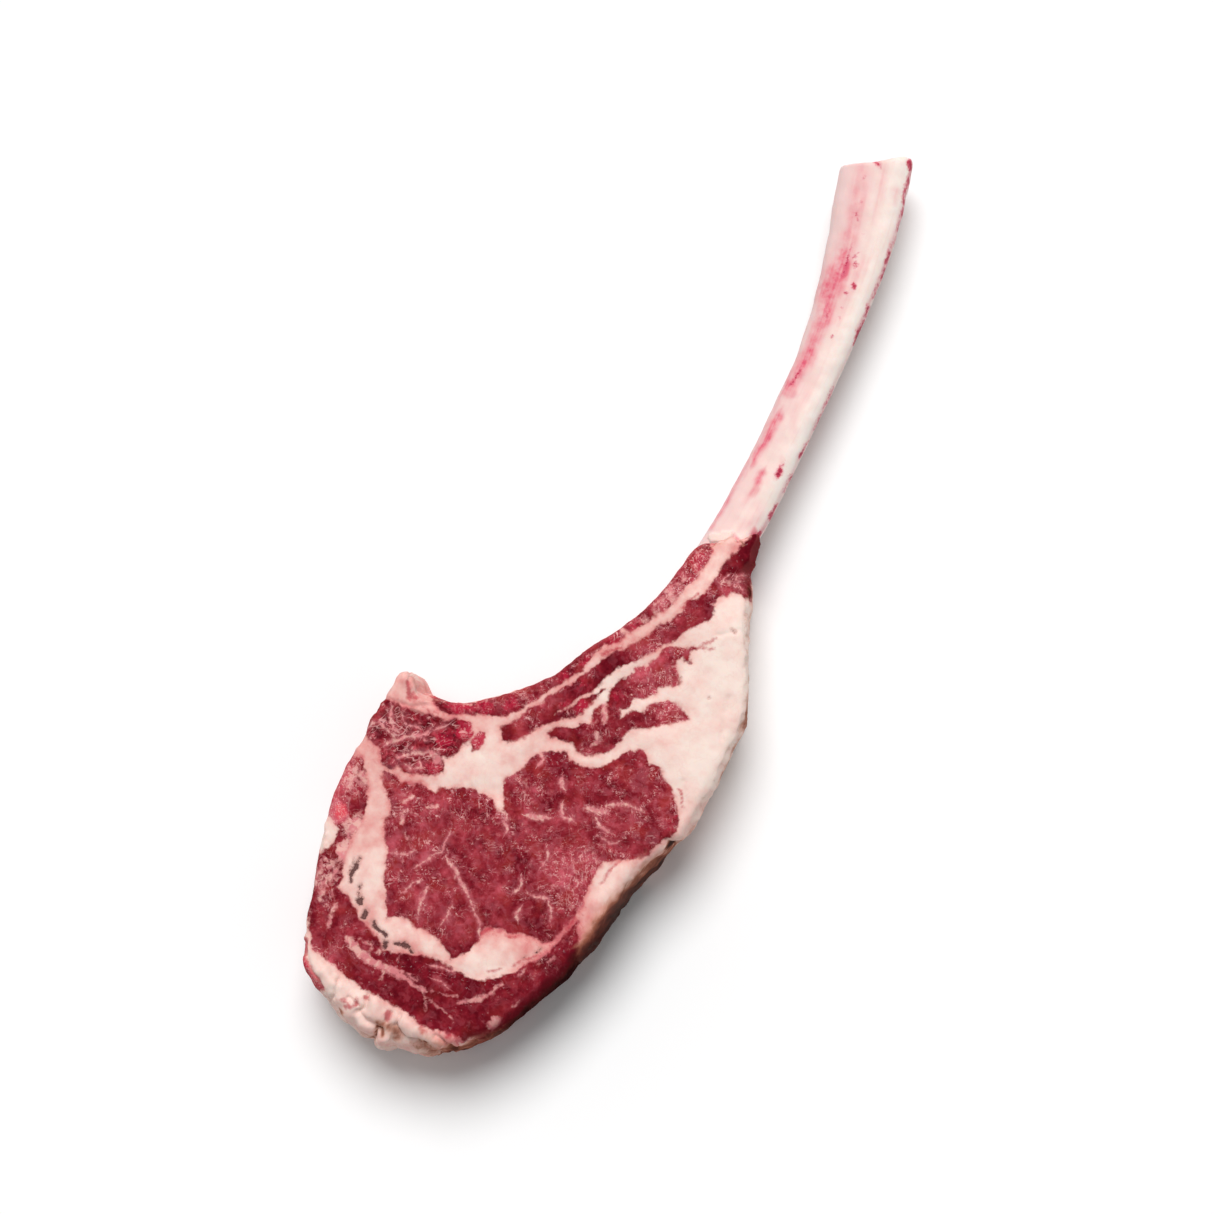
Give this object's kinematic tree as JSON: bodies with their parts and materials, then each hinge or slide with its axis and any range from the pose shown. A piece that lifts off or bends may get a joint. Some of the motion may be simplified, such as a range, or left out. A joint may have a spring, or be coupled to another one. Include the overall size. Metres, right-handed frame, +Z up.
{
  "type": "raw tomahawk steak",
  "caption": "Thick raw beef rib steak lying flat, marbled eye muscle with fat seams and a pale rind, on a long bare curved rib bone with a slanting sawn end",
  "frame": {"origin": "middle of the overall bounding box, on the flat lower cut face that the steak rests on", "axes": "+Y runs along the steak from the foot of the meat to the sawn end of the bone, +Z is up out of the shown cut face, +X points to the fat side, away from the hollow edge"},
  "size_m": [0.1407, 0.4399, 0.0454],
  "materials": {
    "meat": "moist raw red muscle with pale pink fat, satin with small wet highlights",
    "rib_bone": "cream bone with rose streaks, slightly moist, satin"
  },
  "bodies": {
    "root": {"meat": "meat", "rib_bone": "rib_bone"}
  },
  "joints": []
}
